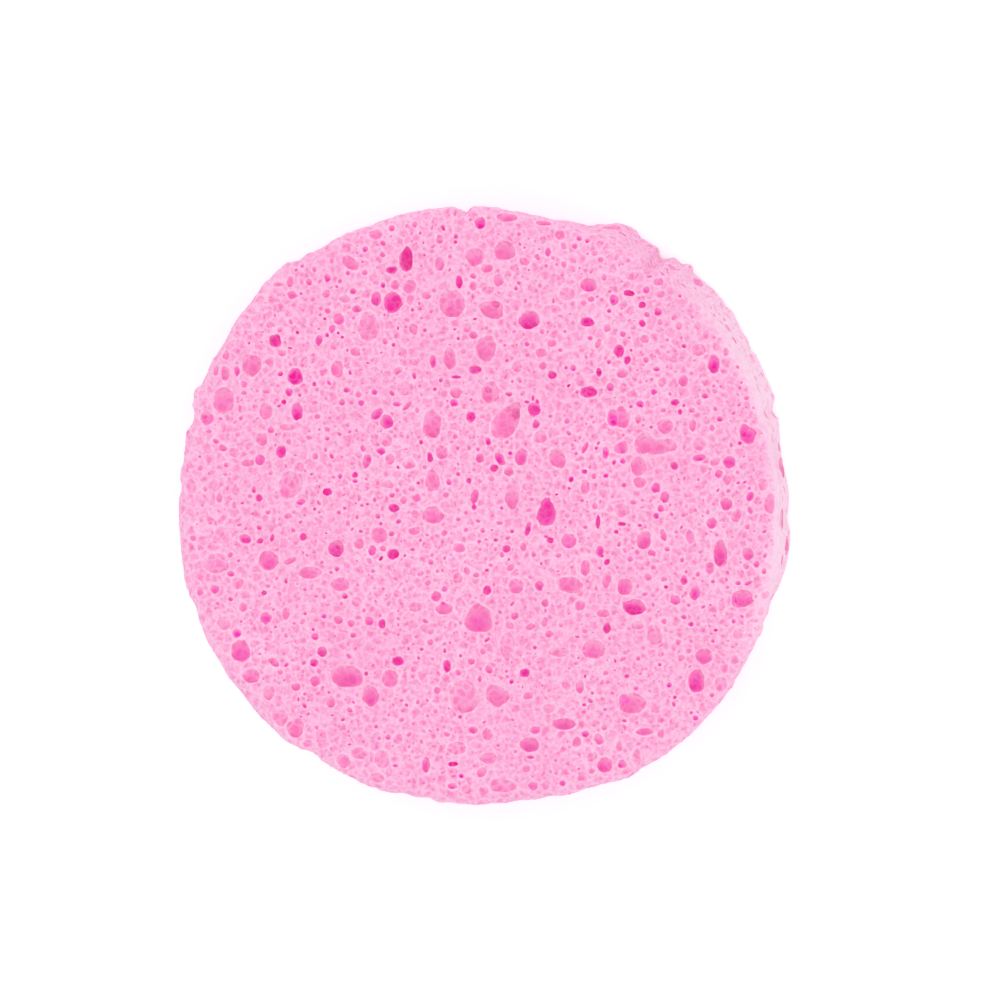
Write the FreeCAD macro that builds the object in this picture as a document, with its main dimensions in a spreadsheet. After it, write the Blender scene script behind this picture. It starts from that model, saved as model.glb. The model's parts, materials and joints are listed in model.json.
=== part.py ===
import FreeCAD, Part
import math
import os

# Round facial cleansing sponge of expanded cellulose, punched from one slab.
# It lies flat on its back face. The working face looks up, with the widest cells.
# The origin is the middle of the back face, +Z is up and all lengths are millimetres.

NODE = "sponge_disc"

doc = FreeCAD.newDocument("facial_sponge")
sheet = doc.addObject("Spreadsheet::Sheet", "Sizes")

# Driving dimensions, one row each: alias, value, what it measures
SIZES = [
    ("punch_diameter", 75.0, "inside diameter of the round punch"),
    ("slab_thickness", 12.0, "height of the slab that the disc is punched from"),
    ("front_edge_drop", 2.0, "height of the edge that the punch drags over, at the front"),
    ("front_edge_inset", 1.7, "width of that dragged edge where it is widest"),
    ("back_edge_drop", 1.2, "height of the rounded edge at the back"),
    ("back_edge_inset", 0.7, "width of the rounded edge at the back"),
    ("waist_draw", 0.35, "how far the wall is drawn in at half height"),
    ("widest_front_cell", 4.8, "length of the longest open cell in the front face"),
    ("deepest_front_cell", 2.8, "depth of the deepest open cell in the front face"),
    ("widest_back_cell", 3.6, "length of the longest open cell in the back face"),
    ("deepest_back_cell", 2.2, "depth of the deepest open cell in the back face"),
    ("widest_wall_cell", 3.2, "length of the longest open cell round the wall"),
    ("deepest_wall_cell", 1.6, "depth of the deepest open cell in the wall"),
]
for row, (alias, value, note) in enumerate(SIZES, start=1):
    sheet.set("A%d" % row, note)
    sheet.set("B%d" % row, str(value))
    sheet.setAlias("B%d" % row, alias)
doc.recompute()


def size(alias):
    """A driving dimension as the sheet holds it."""
    return float(sheet.get(alias))


# Outline of the disc. The slab is soft, so the punch leaves an uneven round:
# its radius every ten degrees from +X, as a share of the punch's radius.
front_radius_shares = [
    0.998, 1.000, 1.003, 1.002, 1.000, 0.997, 0.996, 0.987, 0.991,
    1.004, 1.003, 1.009, 1.014, 1.036, 1.019, 1.013, 1.015, 0.999,
    0.994, 1.003, 1.006, 1.003, 1.003, 1.004, 0.995, 0.994, 0.982,
    0.987, 0.990, 1.011, 1.028, 1.035, 1.034, 1.023, 1.010, 1.002,
]
back_radius_shares = [
    0.992, 0.986, 0.996, 1.001, 1.018, 1.026, 1.014, 0.970, 0.962,
    0.974, 0.985, 0.992, 1.000, 1.010, 1.004, 0.998, 1.002, 1.000,
    1.004, 0.996, 0.992, 0.998, 1.004, 1.000, 0.990, 0.984, 0.986,
    0.984, 0.980, 0.990, 1.004, 1.010, 1.006, 0.998, 0.993, 0.993,
]
waist_radius_shares = [(f + b) / 2.0 for f, b in zip(front_radius_shares, back_radius_shares)]
step_angle = 360.0 / len(front_radius_shares)

# The punch drags the front edge over most towards the lower left of the face.
drag_heading = 205.0
least_drag_share = 0.25


def drag_share(angle):
    """How wide the dragged front edge is at an angle, against its widest."""
    swing = (1.0 + math.cos(math.radians(angle - drag_heading))) / 2.0
    return least_drag_share + (1.0 - least_drag_share) * swing


def outline_wire(name, height, shares, drawn_in, follows_drag=False):
    """One level of the disc: arcs through neighbouring points of the outline."""
    points = []
    for index, share in enumerate(shares):
        angle = index * step_angle
        inset = drawn_in * drag_share(angle) if follows_drag else drawn_in
        radius = size("punch_diameter") / 2.0 * share - inset
        x = radius * math.cos(math.radians(angle))
        y = radius * math.sin(math.radians(angle))
        points.append(FreeCAD.Vector(x, y, height))
    points.append(points[0])
    arcs = [
        Part.Arc(points[start], points[start + 1], points[start + 2]).toShape()
        for start in range(0, len(shares), 2)
    ]
    level = doc.addObject("Part::Feature", name)
    level.Shape = Part.Wire(arcs)
    return level


# The punched blank: a loft through six levels, from the back face to the front face.
roll_height_share = 0.72
roll_inset_share = 0.38
thickness = size("slab_thickness")
front_inset = size("front_edge_inset")
front_edge_height = thickness - size("front_edge_drop")
roll_height = front_edge_height + size("front_edge_drop") * roll_height_share
levels = [
    outline_wire("back_face_level", 0, back_radius_shares, size("back_edge_inset")),
    outline_wire("back_edge_level", size("back_edge_drop"), back_radius_shares, 0),
    outline_wire("waist_level", thickness / 2.0, waist_radius_shares, size("waist_draw")),
    outline_wire("front_edge_level", front_edge_height, front_radius_shares, 0),
    outline_wire(
        "front_roll_level", roll_height, front_radius_shares, front_inset * roll_inset_share, True
    ),
    outline_wire("front_face_level", thickness, front_radius_shares, front_inset, True),
]
blank = doc.addObject("Part::Loft", "punched_blank")
blank.Sections = levels
blank.Solid = True
blank.Ruled = False

# Open cells are bubbles that the cut has opened. A long cell is a row of bubbles that
# grew into each other, and its last bubble is narrower than its first.
bubble_step_share = 0.80
narrow_end_share = 0.80
round_cell_share = 1.22


def bubble(name, places, mouth, depth, outward):
    """A ball that opens a mouth of this radius. Places, mouth and depth are expressions."""
    ball = doc.addObject("Part::Sphere", name)
    turn = FreeCAD.Rotation(FreeCAD.Vector(0, 0, 1), outward)
    ball.Placement = FreeCAD.Placement(FreeCAD.Vector(), turn)
    for axis, place in zip("xyz", places):
        ball.setExpression("Placement.Base." + axis, place)
    ball.setExpression("Radius", ball_radius(mouth, depth))
    return ball


def ball_radius(mouth, depth):
    """Radius of a ball that opens a mouth of this radius and reaches this deep."""
    return "((%s) ^ 2 + (%s) ^ 2) / (2 * (%s))" % (mouth, depth, depth)


def bubble_row(length_share, width_share):
    """Place along the cell and width of each bubble, as shares of the widest cell."""
    if length_share < width_share * round_cell_share:
        return [(0.0, width_share)]
    gaps = math.ceil((length_share / width_share - 1.0) / bubble_step_share)
    last_width = width_share * narrow_end_share
    first_place = (width_share - length_share) / 2.0
    last_place = (length_share - last_width) / 2.0
    row = []
    for index in range(gaps + 1):
        part_way = index / gaps
        place = first_place + (last_place - first_place) * part_way
        width = width_share + (last_width - width_share) * part_way
        row.append((place, width))
    return row


def face_cell(name, shares, widest, deepest, faces_up):
    """An open cell in a flat face, from one row of shares."""
    x_share, y_share, length_share, width_share, turn, depth_share = shares
    across = math.cos(math.radians(turn))
    up = math.sin(math.radians(turn))
    outward = FreeCAD.Vector(0, 0, 1 if faces_up else -1)
    bubbles = []
    for place, width in bubble_row(length_share, width_share):
        mouth = "Sizes.%s / 2 * %.4f" % (widest, width)
        depth = "Sizes.%s * %.4f" % (deepest, depth_share * width / width_share)
        above_floor = "%s - %s" % (ball_radius(mouth, depth), depth)
        if faces_up:
            height = "Sizes.slab_thickness + (%s)" % above_floor
        else:
            height = "-1 * (%s)" % above_floor
        places = (
            "Sizes.punch_diameter / 2 * %.4f + Sizes.%s * %.4f" % (x_share, widest, place * across),
            "Sizes.punch_diameter / 2 * %.4f + Sizes.%s * %.4f" % (y_share, widest, place * up),
            height,
        )
        bubbles.append(bubble(name, places, mouth, depth, outward))
    return bubbles


# Open cells of the front face, one row each: place across and up as shares of the
# punch's radius, length and width as shares of the widest cell, the way its narrow
# end points in degrees, and depth as a share of the deepest cell.
front_cell_shares = [
    (-0.238, 0.827, 0.74, 0.39, 95, 0.75), (-0.282, 0.683, 0.53, 0.53, 0, 0.95),
    (0.182, 0.340, 0.55, 0.47, 80, 0.95), (0.172, 0.623, 0.55, 0.47, 0, 0.75),
    (0.232, -0.013, 0.74, 0.50, 95, 0.95), (0.365, 0.617, 0.37, 0.29, 15, 0.60),
    (0.372, 0.383, 0.47, 0.34, 0, 0.70), (0.472, 0.520, 0.39, 0.32, 90, 0.65),
    (0.788, 0.477, 0.53, 0.34, 85, 0.55), (-0.608, 0.433, 0.45, 0.42, 90, 0.85),
    (-0.675, 0.553, 0.37, 0.34, 90, 0.70), (-0.602, 0.320, 0.45, 0.32, 100, 0.55),
    (-0.655, 0.183, 0.32, 0.29, 60, 0.60), (-0.302, 0.283, 0.37, 0.34, 30, 0.55),
    (-0.158, 0.167, 0.34, 0.19, 95, 0.40), (-0.022, 0.300, 0.29, 0.27, 0, 0.55),
    (0.468, 0.297, 0.58, 0.52, 0, 0.75), (0.902, 0.240, 0.52, 0.42, 125, 0.65),
    (0.842, 0.150, 0.34, 0.33, 0, 0.40), (-0.012, 0.020, 0.53, 0.24, 95, 0.40),
    (-0.278, -0.003, 0.34, 0.27, -20, 0.60), (-0.282, -0.157, 0.36, 0.29, 0, 0.60),
    (-0.472, -0.140, 0.47, 0.40, -50, 0.45), (-0.698, -0.177, 0.55, 0.50, 0, 0.60),
    (-0.555, -0.220, 0.61, 0.34, 5, 0.35), (-0.788, -0.480, 0.53, 0.50, 40, 0.55),
    (-0.435, -0.567, 0.80, 0.55, 10, 0.60), (-0.355, -0.630, 0.50, 0.42, 70, 0.50),
    (-0.102, -0.530, 0.34, 0.24, 90, 0.50), (0.005, -0.367, 0.79, 0.60, 90, 0.65),
    (0.158, -0.553, 0.32, 0.29, 0, 0.60), (0.305, -0.113, 0.39, 0.37, 60, 0.60),
    (0.555, -0.110, 0.45, 0.42, 90, 0.50), (0.522, -0.333, 0.66, 0.42, -20, 0.65),
    (0.882, -0.307, 0.55, 0.48, 180, 0.55), (0.725, -0.287, 0.42, 0.29, 75, 0.45),
    (0.515, -0.653, 0.74, 0.58, 5, 0.60), (0.728, -0.580, 0.66, 0.45, 80, 0.65),
    (0.755, -0.497, 0.45, 0.37, 10, 0.40), (0.288, -0.723, 0.63, 0.32, -10, 0.35),
    (0.172, -0.793, 0.53, 0.37, 0, 0.40), (0.302, -0.263, 0.71, 0.35, -12, 0.40),
    (0.098, 0.293, 1.00, 0.58, 62, 0.50), (-0.085, 0.677, 0.68, 0.64, 0, 0.50),
    (0.048, 0.660, 0.66, 0.44, 0, 0.40), (0.088, 0.853, 0.55, 0.50, 20, 0.45),
    (0.028, 0.527, 0.71, 0.50, 70, 0.45), (-0.092, 0.493, 0.55, 0.37, 75, 0.35),
    (-0.152, 0.277, 0.74, 0.48, 95, 0.38), (-0.145, -0.027, 0.53, 0.45, 0, 0.35),
    (-0.152, 0.087, 0.55, 0.37, 90, 0.32), (0.115, 0.030, 0.58, 0.37, 95, 0.36),
    (0.265, 0.163, 0.55, 0.48, -40, 0.38), (0.592, 0.207, 1.00, 0.50, 0, 0.25),
    (0.538, 0.120, 0.47, 0.36, 0, 0.32), (0.625, 0.275, 0.42, 0.34, 0, 0.32),
    (0.372, 0.740, 0.47, 0.37, 10, 0.35), (-0.045, -0.633, 0.82, 0.74, 90, 0.28),
    (0.070, -0.627, 0.60, 0.50, 0, 0.34), (0.388, -0.477, 0.68, 0.45, 5, 0.32),
    (0.808, -0.153, 0.71, 0.37, 90, 0.34), (0.498, -0.262, 0.46, 0.40, 20, 0.34),
    (-0.872, -0.187, 0.58, 0.50, 30, 0.25), (-0.848, 0.357, 0.62, 0.53, 90, 0.32),
    (-0.752, 0.473, 0.53, 0.45, 80, 0.35), (-0.362, 0.607, 0.68, 0.52, 80, 0.25),
    (-0.425, 0.813, 0.47, 0.32, -35, 0.32), (-0.458, -0.257, 0.50, 0.37, 10, 0.30),
    (-0.625, 0.077, 0.68, 0.56, 110, 0.24), (-0.068, -0.803, 0.53, 0.34, 0, 0.22),
    (-0.318, -0.840, 0.45, 0.37, 80, 0.24), (0.455, 0.745, 0.37, 0.24, 20, 0.22),
    (0.008, 0.935, 0.32, 0.29, 90, 0.45), (-0.062, 0.750, 0.37, 0.21, 90, 0.45),
    (-0.008, 0.457, 0.37, 0.29, 0, 0.55), (0.505, 0.713, 0.34, 0.21, 0, 0.42),
    (0.685, 0.420, 0.32, 0.24, 90, 0.30), (0.738, 0.523, 0.37, 0.32, 0, 0.20),
    (0.075, 0.160, 0.37, 0.30, 120, 0.45), (0.145, 0.167, 0.47, 0.34, 80, 0.35),
    (0.428, 0.180, 0.32, 0.19, 90, 0.35), (0.490, 0.197, 0.32, 0.30, 0, 0.30),
    (0.738, 0.163, 0.37, 0.22, 0, 0.38), (-0.265, -0.513, 0.34, 0.26, 0, 0.50),
    (-0.705, -0.370, 0.32, 0.29, 0, 0.45), (-0.775, -0.107, 0.34, 0.27, -20, 0.30),
    (-0.112, -0.340, 0.53, 0.32, 0, 0.20), (0.082, -0.930, 0.60, 0.32, 0, 0.20),
    (0.038, -0.837, 0.42, 0.32, 0, 0.25), (-0.172, -0.860, 0.42, 0.24, 90, 0.28),
    (-0.395, -0.820, 0.40, 0.32, 180, 0.20), (-0.695, -0.617, 0.40, 0.32, 90, 0.22),
    (-0.488, -0.650, 0.34, 0.24, 90, 0.24), (0.272, -0.483, 0.56, 0.27, 0, 0.18),
    (0.098, -0.460, 0.62, 0.38, 90, 0.22), (0.402, -0.050, 0.40, 0.19, 90, 0.40),
    (0.412, -0.150, 0.34, 0.24, 100, 0.38), (0.708, -0.100, 0.34, 0.24, 90, 0.24),
    (0.782, -0.053, 0.32, 0.29, 90, 0.32), (0.825, 0.010, 0.37, 0.35, 0, 0.26),
    (0.905, 0.033, 0.32, 0.20, 80, 0.24), (0.902, -0.157, 0.34, 0.30, 90, 0.26),
    (0.135, -0.263, 0.42, 0.38, 90, 0.20), (0.432, -0.240, 0.50, 0.24, 95, 0.24),
    (0.432, -0.403, 0.32, 0.27, 90, 0.55), (0.592, -0.427, 0.53, 0.40, 90, 0.22),
    (0.342, -0.600, 0.37, 0.21, 90, 0.22), (0.558, -0.750, 0.45, 0.22, 0, 0.26),
    (0.405, -0.773, 0.32, 0.27, 90, 0.26), (-0.338, 0.693, 0.40, 0.24, 90, 0.40),
    (-0.225, 0.733, 0.32, 0.32, 0, 0.30), (-0.125, 0.810, 0.37, 0.24, 90, 0.24),
    (-0.008, 0.833, 0.45, 0.40, 0, 0.32), (-0.148, 0.483, 0.34, 0.22, 90, 0.38),
    (-0.072, 0.380, 0.32, 0.27, 0, 0.26), (-0.242, 0.397, 0.42, 0.36, 0, 0.20),
    (-0.468, 0.457, 0.45, 0.34, 80, 0.34), (-0.705, 0.320, 0.42, 0.36, 60, 0.34),
    (-0.718, 0.227, 0.34, 0.29, 100, 0.28), (-0.725, 0.157, 0.32, 0.29, 0, 0.45),
    (-0.305, 0.223, 0.34, 0.32, 90, 0.20), (-0.368, 0.153, 0.37, 0.27, 95, 0.34),
    (-0.228, 0.143, 0.32, 0.26, 0, 0.20), (-0.118, 0.183, 0.34, 0.30, 90, 0.30),
    (-0.328, -0.093, 0.45, 0.42, 0, 0.20), (-0.845, -0.387, 0.37, 0.32, 0, 0.20),
    (-0.758, -0.563, 0.45, 0.38, 30, 0.28), (-0.905, 0.297, 0.37, 0.34, 0, 0.30),
]
cells = []
for shares in front_cell_shares:
    cells += face_cell("front_cell", shares, "widest_front_cell", "deepest_front_cell", True)

# Open cells of the back face, spread by the golden angle so that they keep apart.
# Their other shares run through short uneven lists.
back_cell_count = 58
golden_angle = 137.508
back_first_share = 0.13
back_last_share = 0.92
back_length_shares = [0.45, 0.80, 0.50, 1.00, 0.40, 0.55, 0.48]
back_width_shares = [0.40, 0.55, 0.48, 0.60, 0.36]
back_depth_shares = [0.70, 0.45, 1.00, 0.35, 0.85, 0.55, 0.30, 0.60]
back_turns = [10, 75, 130, 40, 160, 100]
for index in range(back_cell_count):
    spread = math.sqrt(index / (back_cell_count - 1.0))
    reach = back_first_share + (back_last_share - back_first_share) * spread
    angle = math.radians(index * golden_angle)
    width_share = back_width_shares[index % len(back_width_shares)]
    shares = (
        reach * math.cos(angle),
        reach * math.sin(angle),
        max(back_length_shares[index % len(back_length_shares)], width_share),
        width_share,
        back_turns[index % len(back_turns)],
        back_depth_shares[index % len(back_depth_shares)],
    )
    cells += face_cell("back_cell", shares, "widest_back_cell", "deepest_back_cell", False)


def wall_share(angle):
    """Radius of the wall at half height, as a share of the punch's radius."""
    before = int(angle // step_angle) % len(waist_radius_shares)
    after = (before + 1) % len(waist_radius_shares)
    part_way = (angle % step_angle) / step_angle
    return waist_radius_shares[before] * (1.0 - part_way) + waist_radius_shares[after] * part_way


# Open cells round the wall. They open outwards and sit at uneven heights.
wall_cell_count = 40
wall_start_share = 0.4
wall_height_shares = [0.30, 0.66, 0.45, 0.74, 0.24, 0.55, 0.36, 0.70, 0.40, 0.60, 0.28]
wall_width_shares = [0.80, 0.45, 1.00, 0.55, 0.70, 0.38, 0.60, 0.90, 0.50]
wall_depth_shares = [0.60, 1.00, 0.45, 0.80, 0.35, 0.70, 0.50]
for index in range(wall_cell_count):
    angle = (index + wall_start_share) * 360.0 / wall_cell_count
    mouth = "Sizes.widest_wall_cell / 2 * %.4f" % wall_width_shares[index % len(wall_width_shares)]
    depth = "Sizes.deepest_wall_cell * %.4f" % wall_depth_shares[index % len(wall_depth_shares)]
    reach = "(Sizes.punch_diameter / 2 * %.4f - Sizes.waist_draw + %s - %s)" % (
        wall_share(angle), ball_radius(mouth, depth), depth,
    )
    places = (
        "%s * %.4f" % (reach, math.cos(math.radians(angle))),
        "%s * %.4f" % (reach, math.sin(math.radians(angle))),
        "Sizes.slab_thickness * %.4f" % wall_height_shares[index % len(wall_height_shares)],
    )
    outward = FreeCAD.Vector(math.cos(math.radians(angle)), math.sin(math.radians(angle)), 0)
    cells.append(bubble("wall_cell", places, mouth, depth, outward))

# The finished disc: the blank with every open cell taken out of it.
all_cells = doc.addObject("Part::MultiFuse", "all_cells")
all_cells.Shapes = cells
sponge = doc.addObject("Part::Cut", "sponge")
sponge.Base = blank
sponge.Tool = all_cells
sponge.Label = NODE
doc.recompute()

for item in doc.Objects:
    if "Invalid" in item.State or "Error" in item.State:
        raise SystemExit("%s did not build: %s" % (item.Name, item.State))
parts = [sponge]
for part in parts:
    if part.Shape.isNull() or not part.Shape.isValid():
        raise SystemExit("%s has no valid shape" % part.Label)
    if len(part.Shape.Solids) != 1:
        raise SystemExit("%s is not one solid" % part.Label)

os.makedirs("parts", exist_ok=True)
for part in parts:
    part.Shape.exportStep("parts/%s.step" % part.Label)
    print("%s volume %.0f mm3 area %.0f mm2" % (part.Label, part.Shape.Volume, part.Shape.Area))
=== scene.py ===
import json
import math

import bpy
import numpy as np
from mathutils import Matrix, Vector
from mathutils.bvhtree import BVHTree

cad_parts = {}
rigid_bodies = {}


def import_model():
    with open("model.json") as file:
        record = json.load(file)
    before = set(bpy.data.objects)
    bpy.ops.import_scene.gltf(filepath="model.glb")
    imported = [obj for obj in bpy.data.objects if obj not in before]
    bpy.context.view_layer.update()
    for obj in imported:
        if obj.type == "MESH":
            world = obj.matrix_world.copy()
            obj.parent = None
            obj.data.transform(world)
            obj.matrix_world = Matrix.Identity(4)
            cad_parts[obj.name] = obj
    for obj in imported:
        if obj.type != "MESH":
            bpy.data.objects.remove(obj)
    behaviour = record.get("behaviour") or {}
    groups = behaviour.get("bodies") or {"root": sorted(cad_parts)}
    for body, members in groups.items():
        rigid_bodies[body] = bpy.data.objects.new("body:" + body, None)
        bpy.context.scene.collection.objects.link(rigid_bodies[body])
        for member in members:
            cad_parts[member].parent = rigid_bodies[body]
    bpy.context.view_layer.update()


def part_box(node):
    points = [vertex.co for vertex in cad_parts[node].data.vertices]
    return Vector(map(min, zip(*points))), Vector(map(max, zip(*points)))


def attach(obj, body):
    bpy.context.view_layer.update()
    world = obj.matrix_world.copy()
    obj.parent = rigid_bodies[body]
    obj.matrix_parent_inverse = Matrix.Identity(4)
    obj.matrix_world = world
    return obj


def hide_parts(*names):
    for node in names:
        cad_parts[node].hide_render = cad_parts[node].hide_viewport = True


# One round facial sponge of cellulose, lying on its back face with its working face up.
# It is a single piece of open-celled foam: first its blank, then its cells, then its finish.
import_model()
bpy.ops.object.select_all(action="DESELECT")

# The blank: a disc punched from a slab of soft cellulose, 75 mm across.
# The die leaves an uneven round, drags the front edge over and nicks it here and there.
MM = 0.001
disc_low, disc_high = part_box("sponge_disc")
slab_thickness = disc_high[2] - disc_low[2]
punch_radius = 37.5 * MM
blank_sides = 360
blank_voxel = 0.30 * MM
front_radius_shares = [
    1.005, 1.004, 1.008, 1.008, 1.006, 1.001, 1.000, 0.993, 0.996,
    1.010, 1.015, 1.014, 1.022, 1.051, 1.037, 1.027, 1.034, 1.018,
    1.022, 1.030, 1.038, 1.036, 1.030, 1.035, 1.020, 1.024, 1.002,
    1.007, 1.000, 1.017, 1.040, 1.045, 1.048, 1.040, 1.032, 1.022,
]
back_radius_shares = [
    1.020, 1.006, 1.036, 1.035, 1.053, 1.047, 1.034, 0.994, 0.974,
    0.984, 0.992, 0.998, 1.006, 1.016, 1.010, 1.004, 1.008, 1.010,
    1.022, 1.014, 1.010, 1.016, 1.022, 1.018, 1.008, 1.002, 1.002,
    0.998, 0.994, 1.000, 1.014, 1.022, 1.020, 1.014, 1.015, 1.033,
]
front_edge_drop = 2.2 * MM
front_edge_inset = 2.1 * MM
back_edge_drop = 1.2 * MM
back_edge_inset = 0.7 * MM
edge_roundness = 0.98
waist_draw = 0.35 * MM
drag_heading = math.radians(205.0)
least_drag_share = 0.25
# Each nick: heading and half width in degrees, depth in mm at the front edge and at the back.
edge_nicks = [
    (93.0, 1.6, 0.9, 0.5), (84.0, 2.5, 0.1, 0.3), (68.5, 1.4, -0.2, -0.3), (64.5, 4.5, 0.0, -1.1),
    (54.5, 1.6, 1.0, 0.9), (49.5, 1.2, -0.5, -0.6), (39.5, 1.3, 0.2, 0.3), (30.5, 1.2, 0.1, 0.3),
    (18.2, 1.8, 0.1, 0.8), (357.0, 1.8, 0.1, 0.2), (341.5, 2.0, 0.3, 0.1), (336.5, 1.6, -0.3, 0.3),
    (126.5, 2.0, 0.5, 0.2), (122.0, 3.0, 0.2, 0.1), (236.0, 2.2, 0.5, 0.2), (255.0, 2.0, 0.2, 0.2),
    (262.0, 1.6, -0.3, 0.1), (158.5, 1.3, -0.4, -0.5), (200.0, 2.4, 0.3, 0.4),
    (303.0, 2.2, 0.1, 0.2), (177.0, 1.5, 0.3, 0.5), (163.5, 2.6, 0.7, 0.3),
]
face_swell = 0.13 * MM
face_swell_length = 14.0 * MM
wall_swell = 0.09 * MM
wall_swell_length = 5.0 * MM
fine_swell_length = 1.7 * MM
fine_swell_share = 0.35
usual_dip = 0.9
most_dip = 2.0


def around(shares, angle):
    """A table of shares read between its points, for an array of angles."""
    steps = len(shares)
    place = np.mod(angle / (2.0 * math.pi), 1.0) * steps
    before = np.floor(place).astype(int) % steps
    part_way = place - np.floor(place)
    part_way = part_way * part_way * (3.0 - 2.0 * part_way)
    table = np.array(shares)
    return table[before] * (1.0 - part_way) + table[(before + 1) % steps] * part_way


def waves(points, length, seed, count=14):
    """Soft unevenness between about -1 and 1: crossing waves of about one length."""
    draw = np.random.RandomState(seed)
    total = np.zeros(len(points))
    for index in range(count):
        way = draw.normal(size=3)
        way *= 2.0 * math.pi / (np.linalg.norm(way) * length * draw.uniform(0.7, 1.6))
        total += np.sin(points @ way + draw.uniform(0.0, 2.0 * math.pi))
    return total / math.sqrt(count)


def read_points(piece):
    """The vertices of a mesh as rows of x, y, z."""
    points = np.empty(len(piece.data.vertices) * 3)
    piece.data.vertices.foreach_get("co", points)
    return points.reshape(-1, 3)


def write_points(piece, points):
    piece.data.vertices.foreach_set("co", points.reshape(-1))
    piece.data.update()


def apply_modifier(piece, modifier):
    bpy.ops.object.select_all(action="DESELECT")
    bpy.context.view_layer.objects.active = piece
    piece.select_set(True)
    bpy.ops.object.modifier_apply(modifier=modifier.name)
    bpy.ops.object.select_all(action="DESELECT")


bpy.ops.mesh.primitive_cylinder_add(
    vertices=blank_sides,
    radius=punch_radius,
    depth=slab_thickness,
    location=(0, 0, slab_thickness / 2),
)
sponge = bpy.context.object
sponge.name = "cellulose_disc"
bpy.ops.object.transform_apply(location=True, rotation=True, scale=True)
remesh = sponge.modifiers.new("even_skin", "REMESH")
remesh.mode = "VOXEL"
remesh.voxel_size = blank_voxel
apply_modifier(sponge, remesh)

# Every point keeps its share of the radius, and the round outline becomes the real one.
points = read_points(sponge)
angle = np.arctan2(points[:, 1], points[:, 0])
height = np.clip(points[:, 2] / slab_thickness, 0.0, 1.0)
radius_share = around(back_radius_shares, angle) * (1.0 - height)
radius_share += around(front_radius_shares, angle) * height
swing = (1.0 + np.cos(angle - drag_heading)) / 2.0
front_inset = front_edge_inset * (least_drag_share + (1.0 - least_drag_share) * swing)
into_front_edge = np.clip(1.0 - (slab_thickness - points[:, 2]) / front_edge_drop, 0.0, 1.0)
into_back_edge = np.clip(1.0 - points[:, 2] / back_edge_drop, 0.0, 1.0)
inset = front_inset * (1.0 - np.sqrt(1.0 - into_front_edge ** 2 * edge_roundness))
inset += back_edge_inset * (1.0 - np.sqrt(1.0 - into_back_edge ** 2 * edge_roundness))
inset += waist_draw * np.sin(height * math.pi)
for heading, half_width, front_depth, back_depth in edge_nicks:
    turn_away = np.degrees(np.abs(np.angle(np.exp(1j * (angle - math.radians(heading))))))
    closeness = np.clip(1.0 - turn_away / half_width, 0.0, 1.0)
    bite = back_depth * (1.0 - height) + front_depth * height
    inset += bite * MM * closeness * (2.0 - closeness)
radius_share -= inset / punch_radius
points[:, 0] *= radius_share
points[:, 1] *= radius_share

# Soft cellulose is never quite flat: the faces and the wall swell and dip a little.
wall_lumps = waves(points, wall_swell_length, seed=11)
wall_lumps += fine_swell_share * waves(points, fine_swell_length, seed=12)
reach_change = wall_swell * wall_lumps / punch_radius
points[:, 0] *= 1.0 + reach_change
points[:, 1] *= 1.0 + reach_change
face_dip = face_swell * np.clip(
    usual_dip + waves(points, face_swell_length, seed=13), 0.0, most_dip
)
near_a_face = np.clip(np.abs(height - 0.5) * 2.0, 0.0, 1.0)
points[:, 2] += face_dip * (0.5 - height) * 2.0 * near_a_face
write_points(sponge, points)

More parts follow.
